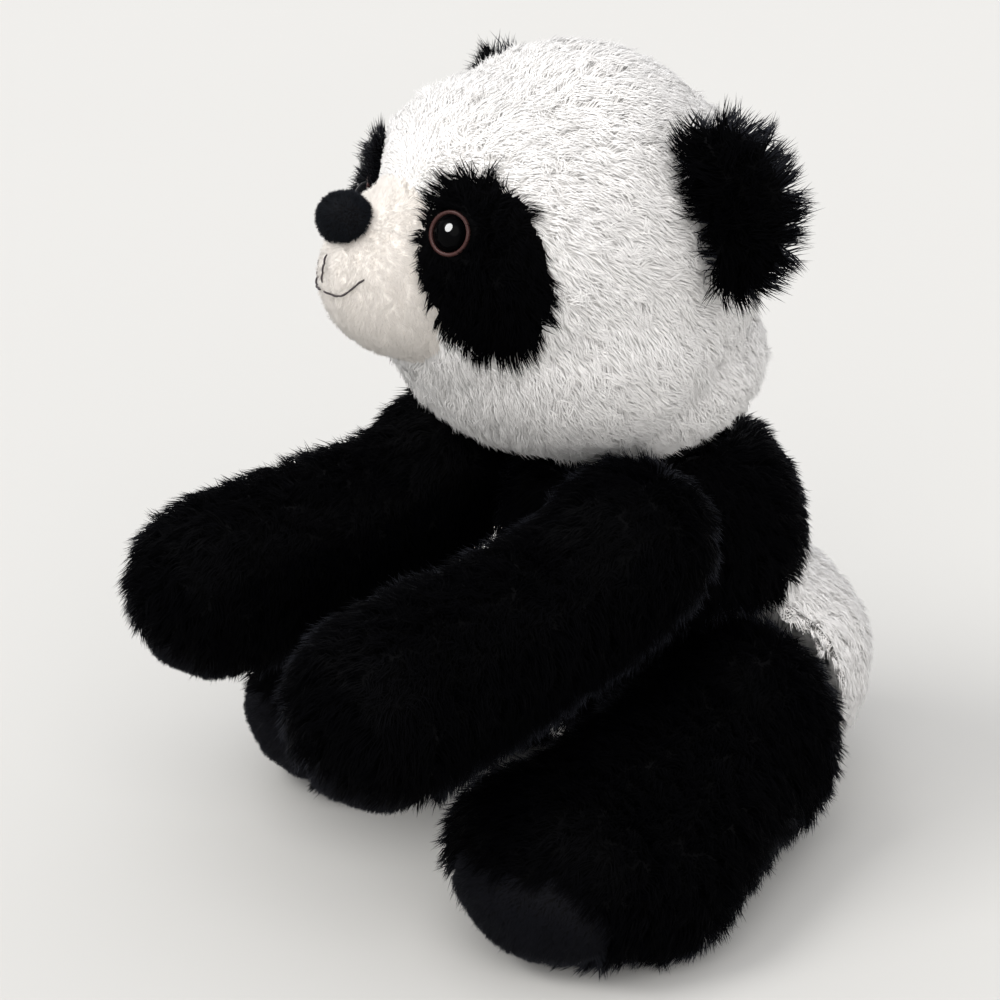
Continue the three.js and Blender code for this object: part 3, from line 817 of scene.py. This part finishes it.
def grow(name, skin, pile, seed, combed, keep=None, blocked=None, thin=None, body="torso",
         finish="black_fur", short=False):
    """Covers a form, or the part of it that keep chooses, with pile combed one way."""
    rng = np.random.default_rng(seed)
    roots, facing = spread(skin, pile.spacing, rng)
    if keep is not None:
        kept = keep(roots, facing)
        roots, facing = roots[kept], facing[kept]
    count = len(roots)
    flow = unit(across(combed(roots, facing), facing))
    uneven = 1 + pile.unevenness * np.clip(rng.normal(size=count), -2, 2) / 2
    lengths = pile.length * uneven
    if thin is not None:
        lengths = lengths * thin(roots, facing)
    tufts = max(1, int(count * (pile.spacing / pile.tuft_size) ** 2))
    centres = np.sort(rng.choice(count, tufts, replace=False))
    tuft = nearest(roots, roots[centres])
    tuft_way = across(rng.normal(size=(len(centres), 3)), facing[centres]) * TUFT_TURN
    tuft_rise = np.clip(rng.normal(size=len(centres)), -1.5, 1.5) * TUFT_RISE
    lean = pile.lean
    stray = across(rng.normal(size=(count, 3)), facing) * STRAY
    start_way = unit(facing * (1 - 0.25 * lean) + flow * lean * 0.6 + tuft_way[tuft] + stray)
    end_way = unit(
        facing * (1.02 - lean + tuft_rise[tuft][:, None]) + flow * lean
        + DOWN * pile.droop + tuft_way[tuft] + stray * 1.6
    )
    whole_way = unit(start_way + end_way)
    if blocked is not None:
        lengths = room_for(roots, facing, whole_way, lengths, blocked)
    alive = lengths > SHORTEST * pile.length
    roots, facing, flow, lengths, tuft = (
        values[alive] for values in (roots, facing, flow, lengths, tuft)
    )
    start_way, end_way = start_way[alive], end_way[alive]
    reach = lengths[:, None]
    middles = roots + start_way * reach * 0.5
    tips = middles + end_way * reach * 0.5
    totals = np.maximum(np.bincount(tuft, minlength=len(centres)), 1)[:, None]
    tuft_tip = np.stack(
        [np.bincount(tuft, tips[:, axis], len(centres)) for axis in range(3)], 1
    ) / totals
    tuft_middle = np.stack(
        [np.bincount(tuft, middles[:, axis], len(centres)) for axis in range(3)], 1
    ) / totals
    draw = (pile.tufting * np.clip(rng.normal(size=len(tuft)) * 0.25 + 0.9, 0.2, 1.3))[:, None]
    onward = tuft_tip + (tuft_tip - tuft_middle) * 0.18
    tips = tips + (onward[tuft] - tips) * draw
    middles = middles + (tuft_middle[tuft] - middles) * draw * 0.35
    width = pile.width * np.clip(1 + rng.normal(size=len(roots)) * 0.15, 0.6, 1.4)
    shades = shades_of(roots, seed, rng)
    sunk = roots - facing * ROOT_DEPTH
    share = PIECE_TRIANGLES // (NAP_TRIANGLES if short else HAIR_TRIANGLES)
    parts = max(1, math.ceil(len(roots) / share))
    order = np.argsort(roots @ PIECE_WAY, kind="stable")
    made = []
    for number, chosen in enumerate(np.array_split(order, parts)):
        label = name if parts == 1 else f"{name}_{number + 1}"
        if short:
            mesh = nap_mesh(label, sunk[chosen], facing[chosen], tips[chosen], width[chosen],
                            shades[chosen], rng)
        else:
            mesh = hair_mesh(label, sunk[chosen], facing[chosen], middles[chosen], tips[chosen],
                             width[chosen], shades[chosen], rng)
        made.append(shown(mesh, label, finish, body))
    return made


def blockers(body):
    """A search tree over every cloth form but one body's own, and, for the head, over the eyes
    too.
    """
    parts = [form(name).polygons() for name in FORMS if name != body]
    if body == "head":
        parts += eye_shapes()
    return tree_of(parts)


# ---------------------------------------------------------------------------
# Turned pieces
# ---------------------------------------------------------------------------


def turned_mesh(name, profile, centre, axis, segments):
    """Turns a profile of (radius, distance) pairs about an axis, from pole to pole."""
    axis = Vector(axis).normalized()
    first = axis.orthogonal().normalized()
    second = axis.cross(first)
    centre = Vector(centre)
    made = bmesh.new()
    rings = []
    for radius, distance in profile:
        middle = centre + axis * distance
        if radius < 1e-7:
            rings.append([made.verts.new(middle)])
            continue
        ring = []
        for step in range(segments):
            angle = 2 * math.pi * step / segments
            ring.append(made.verts.new(
                middle + (first * math.cos(angle) + second * math.sin(angle)) * radius
            ))
        rings.append(ring)
    closed = len(rings[0]) > 1
    pairs = list(zip(rings, rings[1:])) + ([(rings[-1], rings[0])] if closed else [])
    for low, high in pairs:
        for step in range(segments):
            after = (step + 1) % segments
            if len(low) == 1:
                made.faces.new((low[0], high[after], high[step]))
            elif len(high) == 1:
                made.faces.new((low[step], low[after], high[0]))
            else:
                made.faces.new((low[step], low[after], high[after], high[step]))
    bmesh.ops.recalc_face_normals(made, faces=made.faces)
    mesh = bpy.data.meshes.new(name)
    made.to_mesh(mesh)
    made.free()
    mesh.shade_smooth()
    return mesh


def axis_of(side):
    """The eye's middle and the way it looks, from the ring round it."""
    points = corners_of(f"iris_ring_{side}")
    centre = points.mean(0)
    _, _, ways = np.linalg.svd(points - centre, full_matrices=False)
    way = ways[2]
    if way @ (centre - form("head").points.mean(0)) < 0:
        way = -way
    return centre, way


def measured(node, centre, way):
    """Distances of a turned node's corners from its axis and along it."""
    offset = corners_of(node) - centre
    along = offset @ way
    return np.linalg.norm(offset - along[:, None] * way, axis=1), along


def eye_profile(side):
    """The dome, its rim and its stem, as a closed profile."""
    centre, way = axis_of(side)
    radii, along = measured(f"eye_{side}", centre, way)
    radius, top, low = radii.max(), along.max(), along.min()
    base = np.median(along[radii > radius * 0.97])
    stem = np.median(radii[along < low + 0.5 * MM])
    steps = 20
    dome = [
        (radius * math.cos(step / steps * math.pi / 2),
         base + (top - base) * math.sin(step / steps * math.pi / 2))
        for step in range(steps)
    ]
    return [
        (0.0, low), (stem, low), (stem, base - 0.8 * MM), (radius * 0.94, base - 0.8 * MM),
        (radius, base - 0.5 * MM), *dome, (0.0, top),
    ]


def ring_profile(side):
    """The rounded section of the coloured ring."""
    centre, way = axis_of(side)
    radii, along = measured(f"iris_ring_{side}", centre, way)
    middle, half = (radii.max() + radii.min()) / 2, (radii.max() - radii.min()) / 2
    level, rise = (along.max() + along.min()) / 2, (along.max() - along.min()) / 2
    return [
        (middle + half * math.cos(angle), level + rise * math.sin(angle))
        for angle in np.linspace(0, 2 * math.pi, 16, endpoint=False)
    ]


def eye_shapes():
    """Points and faces of both eyes, for pile to keep clear of."""
    shapes = []
    for side in SIDES:
        centre, way = axis_of(side)
        radii, along = measured(f"iris_ring_{side}", centre, way)
        outer, top = radii.max() + 0.3 * MM, along.max() + 1.0 * MM
        guard = [(0.0, -8 * MM), (outer, -8 * MM), (outer, top), (0.0, top + 2 * MM)]
        mesh = turned_mesh("guard", guard, centre, way, 24)
        mesh.calc_loop_triangles()
        shapes.append((
            [list(vertex.co) for vertex in mesh.vertices],
            [list(triangle.vertices) for triangle in mesh.loop_triangles],
        ))
        bpy.data.meshes.remove(mesh)
    return shapes


# ---------------------------------------------------------------------------
# Operators
# ---------------------------------------------------------------------------


def cloth(name, skin, backing, slot, body, fill, *replaced):
    """The sewn skin itself, standing for the covers and the stuffing inside it."""
    piece = shown(skin.mesh, name, backing, body)
    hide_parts(*replaced)
    return piece


def paint(piece, skin, chart, node, finish):
    """Gives the faces nearest to one CAD node another material."""
    piece.data.materials.append(finish_of(finish))
    slot = len(piece.data.materials) - 1
    centres = np.empty(len(piece.data.polygons) * 3)
    piece.data.polygons.foreach_get("center", centres)
    numbers = np.empty(len(piece.data.polygons), np.int32)
    piece.data.polygons.foreach_get("material_index", numbers)
    numbers[chart.belongs(centres.reshape(-1, 3), node)] = slot
    piece.data.polygons.foreach_set("material_index", numbers)


class PandaOperator:
    """What the operators share."""

    bl_options = {"REGISTER", "UNDO"}

    def execute(self, context):
        self.make(context)
        return {"FINISHED"}


HEAD_NODES = ("head_cover", "muzzle_cover", "eye_patch_left", "eye_patch_right")


_charts = {}


def head_chart():
    """Which cover each place on the head belongs to, worked out once."""
    if "head" not in _charts:
        _charts["head"] = Map(HEAD_NODES)
    return _charts["head"]


class PANDA_OT_head(PandaOperator, bpy.types.Operator):
    """Sews the white head and grows its fur"""

    bl_idname = "panda.head"
    bl_label = "Head"

    def make(self, context):
        skin = form("head")
        chart = head_chart()
        piece = cloth("head_cloth", skin, "white_backing", "white_fur", "head", 0.9,
                      "head_cover", "head_stuffing")
        paint(piece, skin, chart, "muzzle_cover", "cream_backing")
        for side in SIDES:
            paint(piece, skin, chart, f"eye_patch_{side}", "black_backing")
        muzzle = middle_of("nose")

        def combed(roots, facing):
            away = unit(roots - muzzle)
            return away + DOWN * 0.55 + swirl(roots, 60 * MM, 3) * 0.2

        def keep(roots, facing):
            return chart.belongs(roots, "head_cover")

        def thin(roots, facing):
            """Shorter beside the muzzle, where the cloth is clipped."""
            away = np.linalg.norm(roots - muzzle, axis=1)
            return np.clip((away - 18 * MM) / (26 * MM), 0.5, 1.0)

        grow("head_fur", skin, coats().white, 11, combed, keep, blockers("head"), thin,
             body="head", finish="white_fur")


class PANDA_OT_muzzle(PandaOperator, bpy.types.Operator):
    """Covers the muzzle with short cream pile"""

    bl_idname = "panda.muzzle"
    bl_label = "Muzzle"

    def make(self, context):
        skin = form("head")
        chart = head_chart()
        nose = middle_of("nose")
        lines = np.concatenate([thread_path(node) for node in THREADS])

        def combed(roots, facing):
            return unit(roots - nose) + DOWN * 0.3 + swirl(roots, 25 * MM, 5) * 0.4

        def keep(roots, facing):
            near = nearest(roots, lines)
            clear = np.linalg.norm(roots - lines[near], axis=1) > 0.7 * MM
            return clear & chart.belongs(roots, "muzzle_cover")

        made = grow("muzzle_pile", skin, coats().muzzle, 21, combed, keep, blockers("head"),
                    body="head", finish="cream_pile", short=True)
        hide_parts("muzzle_cover")


class PANDA_OT_eye_patches(PandaOperator, bpy.types.Operator):
    """Grows the black fur round both eyes"""

    bl_idname = "panda.eye_patches"
    bl_label = "Eye patches"

    def make(self, context):
        skin = form("head")
        chart = head_chart()
        tree = blockers("head")
        for number, side in enumerate(SIDES):
            eye, _ = axis_of(side)
            node = f"eye_patch_{side}"

            def combed(roots, facing, eye=eye):
                return unit(roots - eye) + DOWN * 0.25 + swirl(roots, 20 * MM, 7) * 0.3

            def keep(roots, facing, node=node):
                return chart.belongs(roots, node)

            def thin(roots, facing, eye=eye):
                """Longer towards the cheek and brow than beside the muzzle."""
                return 1 + 0.35 * np.clip((roots[:, 1] - eye[1]) / (12 * MM), -0.6, 1)

            made = grow(f"eye_patch_fur_{side}", skin, coats().patch, 31 + number, combed, keep,
                        tree, thin, body="head")
            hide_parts(node)


CATCH_LIGHT_SIZE = (0.4, 0.5)
CATCH_LIGHT_POWER = 190.0
CATCH_LIGHT_DISTANCE = 0.6


class PANDA_OT_eyes(PandaOperator, bpy.types.Operator):
    """Turns the glossy eyes and the brown rings round them"""

    bl_idname = "panda.eyes"
    bl_label = "Eyes"

    def make(self, context):
        lit = bpy.data.collections.new("eyes_lit")
        for side in SIDES:
            centre, way = axis_of(side)
            dome = turned_mesh("dome", eye_profile(side), centre, way, 64)
            piece = shown(dome, f"eye_dome_{side}", "eye_plastic", "head")
            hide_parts(f"eye_{side}")
            lit.objects.link(piece)
            ring = turned_mesh("ring", ring_profile(side), centre, way, 64)
            piece = shown(ring, f"eye_ring_{side}", "iris_plastic", "head")
            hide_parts(f"iris_ring_{side}")
            NODES[f"eye_washer_{side}"].data.materials.clear()
            NODES[f"eye_washer_{side}"].data.materials.append(finish_of("washer_plastic"))
        self.catch_light(context.scene, lit)

    def catch_light(self, scene, lit):
        """A window of light that only the eyes mirror."""
        data = bpy.data.lights.new("catch_light", "AREA")
        data.shape, data.energy = "ELLIPSE", CATCH_LIGHT_POWER
        data.size, data.size_y = CATCH_LIGHT_SIZE
        light = bpy.data.objects.new("catch_light", data)
        centre, _ = axis_of("left")
        sizes = stage_sizes()
        back, right, up = axes_of(sizes.azimuth, sizes.elevation)
        way = (back * 0.77 - right * 0.44 + up * 0.44).normalized()
        light.location = Vector(centre) + way * CATCH_LIGHT_DISTANCE
        light.rotation_mode = "QUATERNION"
        light.rotation_quaternion = (-way).to_track_quat("-Z", "Y")
        light.light_linking.receiver_collection = lit
        light.visible_diffuse = False
        scene.collection.objects.link(light)


class PANDA_OT_nose(PandaOperator, bpy.types.Operator):
    """Makes the padded nose with its dense black pile"""

    bl_idname = "panda.nose"
    bl_label = "Nose"

    def make(self, context):
        skin = form("nose")
        cloth("nose_cloth", skin, "black_backing", "nose_plush", "head", 0.95, "nose")

        def combed(roots, facing):
            return DOWN + swirl(roots, 12 * MM, 9) * 0.5

        grow("nose_pile", skin, coats().nose, 41, combed, body="head", finish="nose_plush",
             short=True)


THREADS = ("mouth_stitch", "smile_stitch_left", "smile_stitch_right")


PATH_MARKS = 8  # places along a thread at which its middle is taken
PATH_POINTS = 60
PATH_SMOOTHING = 12


def thread_path(node):
    """The line down the middle of a stitched thread."""
    points = corners_of(node)
    centre = points.mean(0)
    _, _, ways = np.linalg.svd(points - centre, full_matrices=False)
    along = (points - centre) @ ways[0]
    marks = np.linspace(along.min(), along.max(), PATH_MARKS)
    reach = (along.max() - along.min()) / (PATH_MARKS + 1)
    path = np.array([
        np.average(points, axis=0, weights=np.exp(-(((along - mark) / reach) ** 2)))
        for mark in marks
    ])
    path += ((marks - (path - centre) @ ways[0])[:, None]) * ways[0]
    fine = np.linspace(0, 1, PATH_POINTS)
    coarse = np.linspace(0, 1, PATH_MARKS)
    path = np.stack([np.interp(fine, coarse, column) for column in path.T], 1)
    for _ in range(PATH_SMOOTHING):
        path[1:-1] = (path[:-2] + path[1:-1] * 2 + path[2:]) / 4
    return path


THREAD_SIDES = 8
THREAD_RISE, THREAD_SUNK = 1.6, 4.6  # in radii: from the ends to the middle, and at the ends


def lay_thread(made, path, radius):
    """A strand along a line, rising and dipping like one stitch."""
    count = len(path)
    head = form("head")
    ways = unit(np.gradient(path, axis=0))
    near = nearest(path, head.points)
    up = head.normals[near]
    side = unit(np.cross(ways, up))
    rings = []
    for step in range(count):
        share = step / (count - 1)
        swell = math.sin(math.pi * min(max(share, 0.02), 0.98)) ** 0.5
        centre = path[step] + up[step] * radius * (swell * THREAD_RISE - THREAD_SUNK)
        ring = []
        for corner in range(THREAD_SIDES):
            angle = 2 * math.pi * corner / THREAD_SIDES
            offset = side[step] * math.cos(angle) + up[step] * math.sin(angle)
            ring.append(made.verts.new(centre + offset * radius * (0.45 + 0.55 * swell)))
        rings.append(ring)
    for low, high in zip(rings, rings[1:]):
        for corner in range(THREAD_SIDES):
            after = (corner + 1) % THREAD_SIDES
            made.faces.new((low[corner], low[after], high[after], high[corner]))
    made.faces.new(rings[0][::-1])
    made.faces.new(rings[-1])


class PANDA_OT_mouth(PandaOperator, bpy.types.Operator):
    """Embroiders the mouth with black thread"""

    bl_idname = "panda.mouth"
    bl_label = "Mouth"

    def make(self, context):
        sizes = face_sizes()
        for node in THREADS:
            path = thread_path(node)
            length_along = np.concatenate(
                [[0], np.cumsum(np.linalg.norm(np.diff(path, axis=0), axis=1))])
            stitches = max(2, round(length_along[-1] / sizes.stitch))
            made = bmesh.new()
            for stitch in range(stitches):
                low = length_along[-1] * max(0.0, stitch - 0.1) / stitches
                high = length_along[-1] * min(stitches, stitch + 1.1) / stitches
                marks = np.linspace(low, high, 12)
                line = np.stack(
                    [np.interp(marks, length_along, path[:, axis]) for axis in range(3)], 1)
                lay_thread(made, line, sizes.thread_radius)
            bmesh.ops.recalc_face_normals(made, faces=made.faces)
            mesh = bpy.data.meshes.new(node)
            made.to_mesh(mesh)
            made.free()
            mesh.shade_smooth()
            name = node.replace("_stitch", "_thread")
            piece = shown(mesh, name, "black_thread", "head")
            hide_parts(node)


class PANDA_OT_ears(PandaOperator, bpy.types.Operator):
    """Makes both ears with their long fur"""

    bl_idname = "panda.ears"
    bl_label = "Ears"

    def make(self, context):
        head = form("head").points.mean(0)
        for number, side in enumerate(SIDES):
            name = f"ear_{side}"
            skin = form(name)
            cloth(f"{name}_cloth", skin, "black_backing", "black_fur", name, 0.5, name)
            centre = skin.points.mean(0)
            root = centre + (head - centre) * 0.3

            def combed(roots, facing, root=root):
                return unit(roots - root) + swirl(roots, 18 * MM, 13) * 0.3

            grow(f"{name}_fur", skin, coats().ear, 51 + number, combed, None, blockers(name),
                 body=name)


class PANDA_OT_torso(PandaOperator, bpy.types.Operator):
    """Sews the torso: black yoke above, white belly and back below"""

    bl_idname = "panda.torso"
    bl_label = "Torso"

    def make(self, context):
        skin = form("torso")
        chart = Map(("yoke_cover", "belly_cover"))
        piece = cloth("torso_cloth", skin, "white_backing", "white_fur", "torso", 0.85,
                      "torso_stuffing")
        paint(piece, skin, chart, "yoke_cover", "black_backing")
        tree = blockers("torso")

        def combed(roots, facing):
            return DOWN + swirl(roots, 60 * MM, 17) * 0.3

        for number, (part, tint) in enumerate((("yoke", "black"), ("belly", "white"))):
            def keep(roots, facing, part=part):
                above = roots[:, 2] > 4 * MM
                return above & chart.belongs(roots, f"{part}_cover")

            def thin(roots, facing, part=part):
                """Longer on the chest and shorter behind the shoulders."""
                return 1 - 0.3 * facing[:, 1] if part == "yoke" else np.ones(len(roots))

            made = grow(f"{part}_fur", skin, getattr(coats(), tint), 61 + number, combed, keep,
                        tree, thin, finish=f"{tint}_fur")
            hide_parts(f"{part}_cover")


def make_limbs(limb, pad, stuffing, seed):
    """A pair of limbs: cloth, long fur, and short pile on the pad at the end."""
    for number, side in enumerate(SIDES):
        name = f"{limb}_{side}"
        skin = form(name)
        cover, pad_node = f"{limb}_cover_{side}", f"{pad}_{side}"
        chart = Map((cover, pad_node))
        cloth(f"{name}_cloth", skin, "black_backing", "black_fur", name, 0.85,
              f"{stuffing}_{side}")
        low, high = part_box(cover)
        pad_middle = middle_of(pad_node)
        root = np.array(((low.x + high.x) / 2, high.y, high.z))
        ahead = unit(pad_middle - root)
        tree = blockers(name)

        def combed(roots, facing):
            return ahead * 0.8 + DOWN * 0.5 + swirl(roots, 60 * MM, seed + 1) * 0.25

        def keep(roots, facing):
            above = roots[:, 2] > 1.5 * MM
            return above & chart.belongs(roots, cover)

        def on_pad(roots, facing):
            return chart.belongs(roots, pad_node)

        made = grow(f"{name}_fur", skin, coats().black, seed + number, combed, keep, tree,
                    body=name)
        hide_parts(cover)
        made = grow(f"{pad}_pile_{side}", skin, coats().pad, seed + 5 + number, combed, on_pad,
                    tree, body=name, finish="black_pile", short=True)
        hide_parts(pad_node)


class PANDA_OT_arms(PandaOperator, bpy.types.Operator):
    """Makes both arms, which reach forward, with their paw pads"""

    bl_idname = "panda.arms"
    bl_label = "Arms"

    def make(self, context):
        make_limbs("arm", "paw_pad", "arm_stuffing", 71)


class PANDA_OT_legs(PandaOperator, bpy.types.Operator):
    """Makes both legs with their soles"""

    bl_idname = "panda.legs"
    bl_label = "Legs"

    def make(self, context):
        make_limbs("leg", "sole_pad", "leg_stuffing", 91)


class PANDA_OT_filling(PandaOperator, bpy.types.Operator):
    """Packs the neck with a ball of fibre filling in black backing cloth: partly the black neck,
    partly painted shade in the gap at the neck
    """

    bl_idname = "panda.filling"
    bl_label = "Filling"

    def make(self, context):
        skin = Form(("neck_stuffing",), body_sizes().voxel, 0.0, 4)
        # black backing on the neck ball: partly the black cloth of the neck, partly painted shade
        # where the gap between head and torso shows
        piece = shown(skin.mesh, "neck_fill", "black_backing", "neck")
        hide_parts("neck_stuffing")


class PANDA_OT_stage(PandaOperator, bpy.types.Operator):
    """Sets the floor, the soft light and the camera"""

    bl_idname = "panda.stage"
    bl_label = "Stage"

    def make(self, context):
        sizes = stage_sizes()
        scene = context.scene
        self.floor(sizes)
        self.world(scene)
        self.lights(scene)
        self.camera(scene, sizes)

    def floor(self, sizes):
        made = bmesh.new()
        bmesh.ops.create_circle(made, cap_ends=True, segments=128, radius=sizes.floor_radius)
        mesh = bpy.data.meshes.new("floor")
        made.to_mesh(mesh)
        made.free()
        finish = Finish("floor_paper", Roughness=0.9, Specular_IOR_Level=0.1)
        mottle = finish.noise(3.0, 2.0)
        tint = sizes.floor_colour
        finish.set(Base_Color=finish.blend(mottle, rgba(tint, 0.995), rgba(tint, 1.005)))
        mesh.materials.append(finish.material)
        floor = bpy.data.objects.new("floor", mesh)
        bpy.context.scene.collection.objects.link(floor)

    def world(self, scene):
        world = bpy.data.worlds.new("studio")
        world.use_nodes = True
        sky = world.node_tree.nodes["Background"]
        sky.inputs["Color"].default_value = (0.965, 0.97, 1.0, 1.0)
        sky.inputs["Strength"].default_value = 0.85
        scene.world = world
        scene.view_settings.view_transform = "Standard"
        scene.view_settings.look = "None"

    def lights(self, scene):
        for name, turn, rise, power, softness, tint in (
            ("key_light", -12, 52, 1.5, 30, (1.0, 0.985, 0.965)),
            ("fill_light", 60, 36, 1.6, 60, (1.0, 0.975, 0.95)),
        ):
            data = bpy.data.lights.new(name, "SUN")
            data.energy, data.angle, data.color = power, math.radians(softness), tint
            light = bpy.data.objects.new(name, data)
            back, _, _ = axes_of(math.radians(turn), math.radians(rise))
            light.rotation_mode = "QUATERNION"
            light.rotation_quaternion = (-back).to_track_quat("-Z", "Y")
            scene.collection.objects.link(light)

    def camera(self, scene, sizes):
        back, right, up = axes_of(sizes.azimuth, sizes.elevation)
        target = up * sizes.above - right * sizes.aside
        data = bpy.data.cameras.new("camera")
        data.sensor_width = 36.0
        data.lens = sizes.lens
        data.clip_start, data.clip_end = 0.01, 50.0
        camera = bpy.data.objects.new("camera", data)
        camera.location = back * sizes.distance
        camera.rotation_mode = "QUATERNION"
        ahead = (target - camera.location).to_track_quat("-Z", "Y")
        camera.rotation_quaternion = ahead @ Quaternion((0.0, 0.0, 1.0), sizes.roll)
        scene.collection.objects.link(camera)
        scene.camera = camera


class PANDA_PT_panel(bpy.types.Panel):
    """Lists the pieces of the panda"""

    bl_idname = "PANDA_PT_panel"
    bl_label = "Plush Panda"
    bl_space_type = "VIEW_3D"
    bl_region_type = "UI"
    bl_category = "Panda"

    def draw(self, context):
        for operator in OPERATORS:
            self.layout.operator(operator.bl_idname)


GROUPS = (
    PANDA_PG_pile, PANDA_PG_coats, PANDA_PG_body, PANDA_PG_face, PANDA_PG_stage,
)
OPERATORS = (
    PANDA_OT_stage, PANDA_OT_torso, PANDA_OT_filling, PANDA_OT_head, PANDA_OT_muzzle,
    PANDA_OT_eye_patches, PANDA_OT_eyes, PANDA_OT_nose, PANDA_OT_mouth, PANDA_OT_ears,
    PANDA_OT_arms, PANDA_OT_legs,
)
SETTINGS = {
    "panda_coats": PANDA_PG_coats,
    "panda_body": PANDA_PG_body,
    "panda_face": PANDA_PG_face,
    "panda_stage": PANDA_PG_stage,
}


def register():
    for item in (*GROUPS, *OPERATORS, PANDA_PT_panel):
        bpy.utils.register_class(item)
    for name, group in SETTINGS.items():
        setattr(bpy.types.Scene, name, bpy.props.PointerProperty(type=group))


def unregister():
    for name in SETTINGS:
        delattr(bpy.types.Scene, name)
    for item in reversed((*GROUPS, *OPERATORS, PANDA_PT_panel)):
        bpy.utils.unregister_class(item)


def main():
    register()
    set_piles()
    for operator in OPERATORS:
        group, name = operator.bl_idname.split(".")
        getattr(getattr(bpy.ops, group), name)()


if __name__ == "__main__":
    main()
